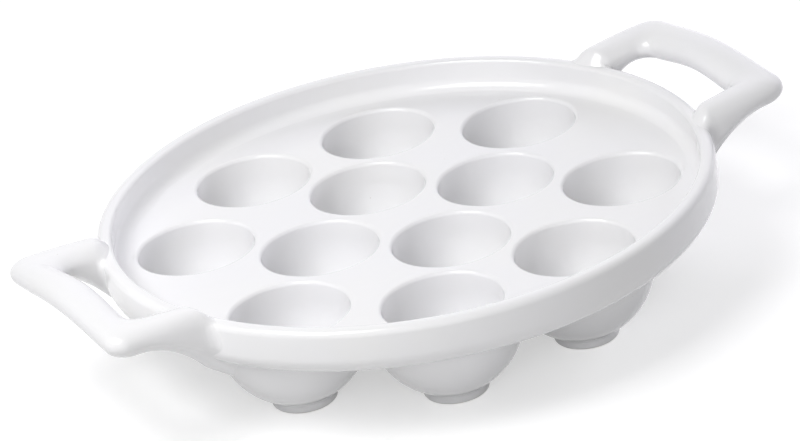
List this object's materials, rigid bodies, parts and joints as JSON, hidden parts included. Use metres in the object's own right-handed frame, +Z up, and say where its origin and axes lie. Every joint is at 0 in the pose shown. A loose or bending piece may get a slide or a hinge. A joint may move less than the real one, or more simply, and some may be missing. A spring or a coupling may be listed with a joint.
{
  "type": "escargot dish",
  "caption": "Round porcelain escargot dish: a flat deck with sunken hemispherical wells inside a raised rim, cups that stand on small round feet, and a loop handle at each end.",
  "frame": {"origin": "middle of the dish, on the plane that its feet stand on", "axes": "+X through the handles, +Y across the dish, +Z up"},
  "size_m": [0.2292, 0.184, 0.0466],
  "materials": {
    "porcelain": "white gloss glaze",
    "foot_ring": "white glaze, wiped bare to matt biscuit under the foot"
  },
  "bodies": {
    "root": {"deck": "porcelain", "rim": "porcelain", "cup_1": "porcelain", "cup_2": "porcelain", "cup_3": "porcelain", "cup_4": "porcelain", "cup_5": "porcelain", "cup_6": "porcelain", "cup_7": "porcelain", "cup_8": "porcelain", "cup_9": "porcelain", "cup_10": "porcelain", "cup_11": "porcelain", "cup_12": "porcelain", "foot_1": "foot_ring", "foot_2": "foot_ring", "foot_3": "foot_ring", "foot_4": "foot_ring", "foot_5": "foot_ring", "foot_6": "foot_ring", "foot_7": "foot_ring", "foot_8": "foot_ring", "foot_9": "foot_ring", "foot_10": "foot_ring", "foot_11": "foot_ring", "foot_12": "foot_ring", "handle_left": "porcelain", "handle_right": "porcelain"}
  },
  "joints": []
}
